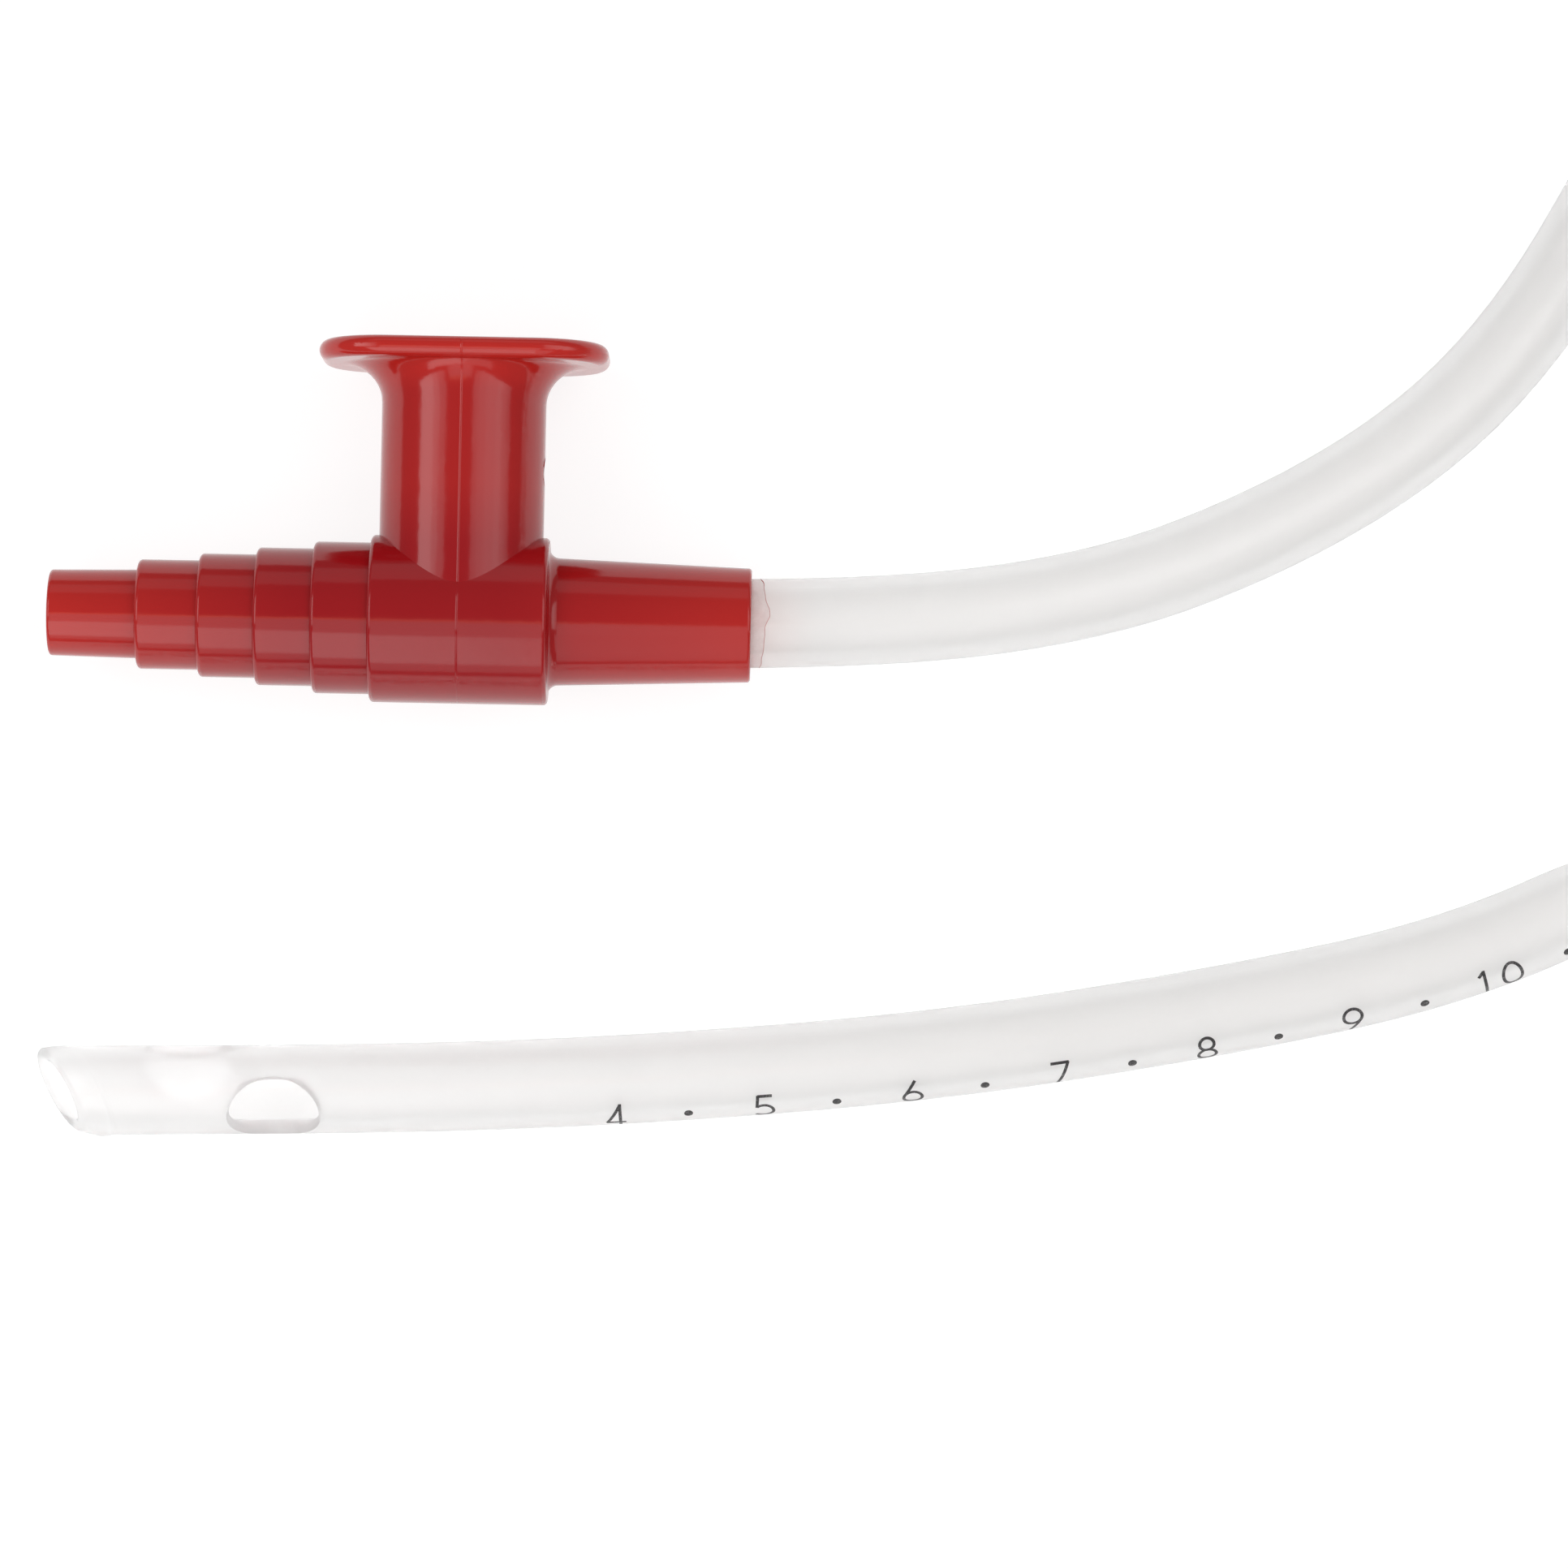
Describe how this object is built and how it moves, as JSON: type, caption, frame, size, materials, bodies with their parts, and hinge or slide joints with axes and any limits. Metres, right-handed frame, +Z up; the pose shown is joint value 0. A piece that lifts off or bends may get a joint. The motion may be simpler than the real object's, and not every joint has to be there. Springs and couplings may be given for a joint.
{
  "type": "suction catheter",
  "caption": "Clear airway suction tube with a slanted tip and side eyes, bonded into a red stepped connector with a thumb port.",
  "frame": {"origin": "on the floor under the middle of the connector's outer box, as the connector lies on its side", "axes": "+X along the connector from its stepped barb to the tube's socket, +Y the way the thumb port points, +Z up from the floor"},
  "size_m": [0.1767, 0.096, 0.013],
  "materials": {
    "red_moulding": "glossy moulded red plastic, slightly translucent",
    "clear_tube": "clear extruded plastic with a fine frosted surface"
  },
  "bodies": {
    "root": {"connector": "red_moulding", "catheter_tube": "clear_tube"}
  },
  "joints": []
}
